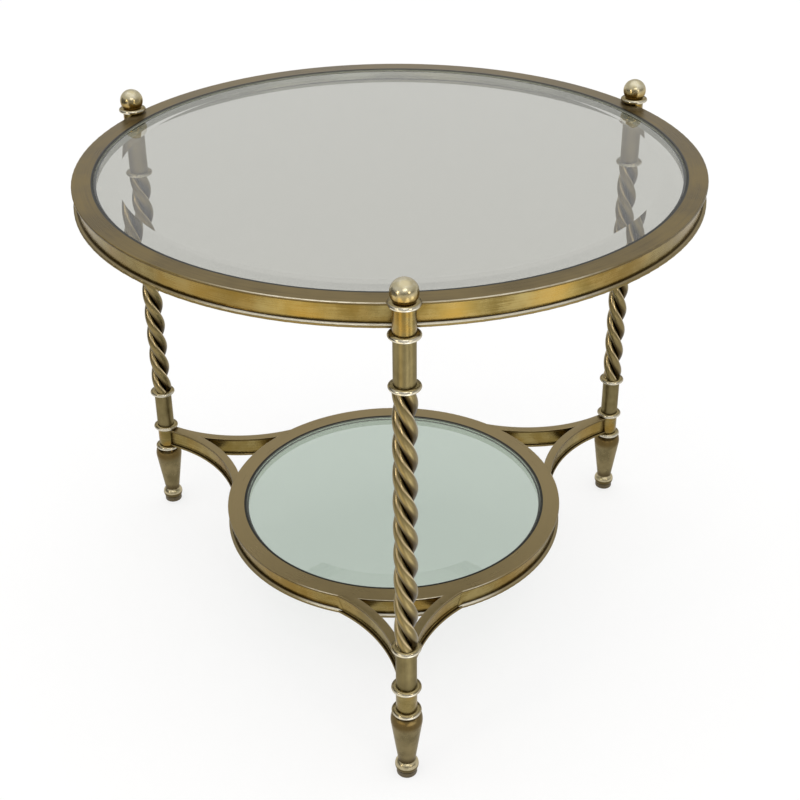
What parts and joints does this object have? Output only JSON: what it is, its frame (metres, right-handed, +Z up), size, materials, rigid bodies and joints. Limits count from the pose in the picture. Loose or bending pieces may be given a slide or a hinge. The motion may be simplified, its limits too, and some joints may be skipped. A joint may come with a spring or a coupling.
{
  "type": "tiered side table",
  "caption": "Round tiered side table in antique brass: bevelled glass top in a ring on rope-twist legs with ball finials, curved arms carrying a smaller glass shelf.",
  "frame": {"origin": "on the floor, on the table's own vertical axis", "axes": "+Z up, the front leg towards -Y, the other legs at 30 and 150 degrees from +X"},
  "size_m": [0.7111, 0.7352, 0.6134],
  "materials": {
    "antique_brass": "brown antique, satin",
    "gold_brass": "antique gold, polished",
    "pale_brass": "rubbed bright",
    "pane_glass": "clear, polished",
    "strip_rubber": "matt",
    "glide_plastic": "matt",
    "rod_steel": "plain"
  },
  "bodies": {
    "frame": {"front_ball_finial": "gold_brass", "front_top_block_collars": "pale_brass", "front_top_block": "gold_brass", "front_neck_tube": "antique_brass", "front_twist_head": "pale_brass", "front_twist": "gold_brass", "front_twist_foot": "pale_brass", "front_lower_tube": "antique_brass", "front_shelf_block_collars": "pale_brass", "front_shelf_block": "gold_brass", "front_foot": "antique_brass", "front_glide": "glide_plastic", "front_upper_tie_rod": "rod_steel", "front_lower_tie_rod": "rod_steel", "front_arm_right": "antique_brass", "front_arm_left": "antique_brass", "right_ball_finial": "gold_brass", "right_top_block_collars": "pale_brass", "right_top_block": "gold_brass", "right_neck_tube": "antique_brass", "right_twist_head": "pale_brass", "right_twist": "gold_brass", "right_twist_foot": "pale_brass", "right_lower_tube": "antique_brass", "right_shelf_block_collars": "pale_brass", "right_shelf_block": "gold_brass", "right_foot": "antique_brass", "right_glide": "glide_plastic", "right_upper_tie_rod": "rod_steel", "right_lower_tie_rod": "rod_steel", "right_arm_right": "antique_brass", "right_arm_left": "antique_brass", "left_ball_finial": "gold_brass", "left_top_block_collars": "pale_brass", "left_top_block": "gold_brass", "left_neck_tube": "antique_brass", "left_twist_head": "pale_brass", "left_twist": "gold_brass", "left_twist_foot": "pale_brass", "left_lower_tube": "antique_brass", "left_shelf_block_collars": "pale_brass", "left_shelf_block": "gold_brass", "left_foot": "antique_brass", "left_glide": "glide_plastic", "left_upper_tie_rod": "rod_steel", "left_lower_tie_rod": "rod_steel", "left_arm_right": "antique_brass", "left_arm_left": "antique_brass", "top_plate": "antique_brass", "top_outer_band": "gold_brass", "top_lip": "pale_brass", "top_inner_band": "antique_brass", "top_glass_strip": "strip_rubber", "shelf_plate": "antique_brass", "shelf_outer_band": "gold_brass", "shelf_lip": "pale_brass", "shelf_inner_band": "antique_brass", "shelf_glass_strip": "strip_rubber"},
    "top_pane": {"top_glass": "pane_glass"},
    "shelf_pane": {"shelf_glass": "pane_glass"}
  },
  "joints": [
    {"name": "top_pane_lift", "type": "slide", "parent": "frame", "child": "top_pane", "axis": [0, 0, 1], "range_m": [0, 0.06]},
    {"name": "shelf_pane_lift", "type": "slide", "parent": "frame", "child": "shelf_pane", "axis": [0, 0, 1], "range_m": [0, 0.1]}
  ]
}
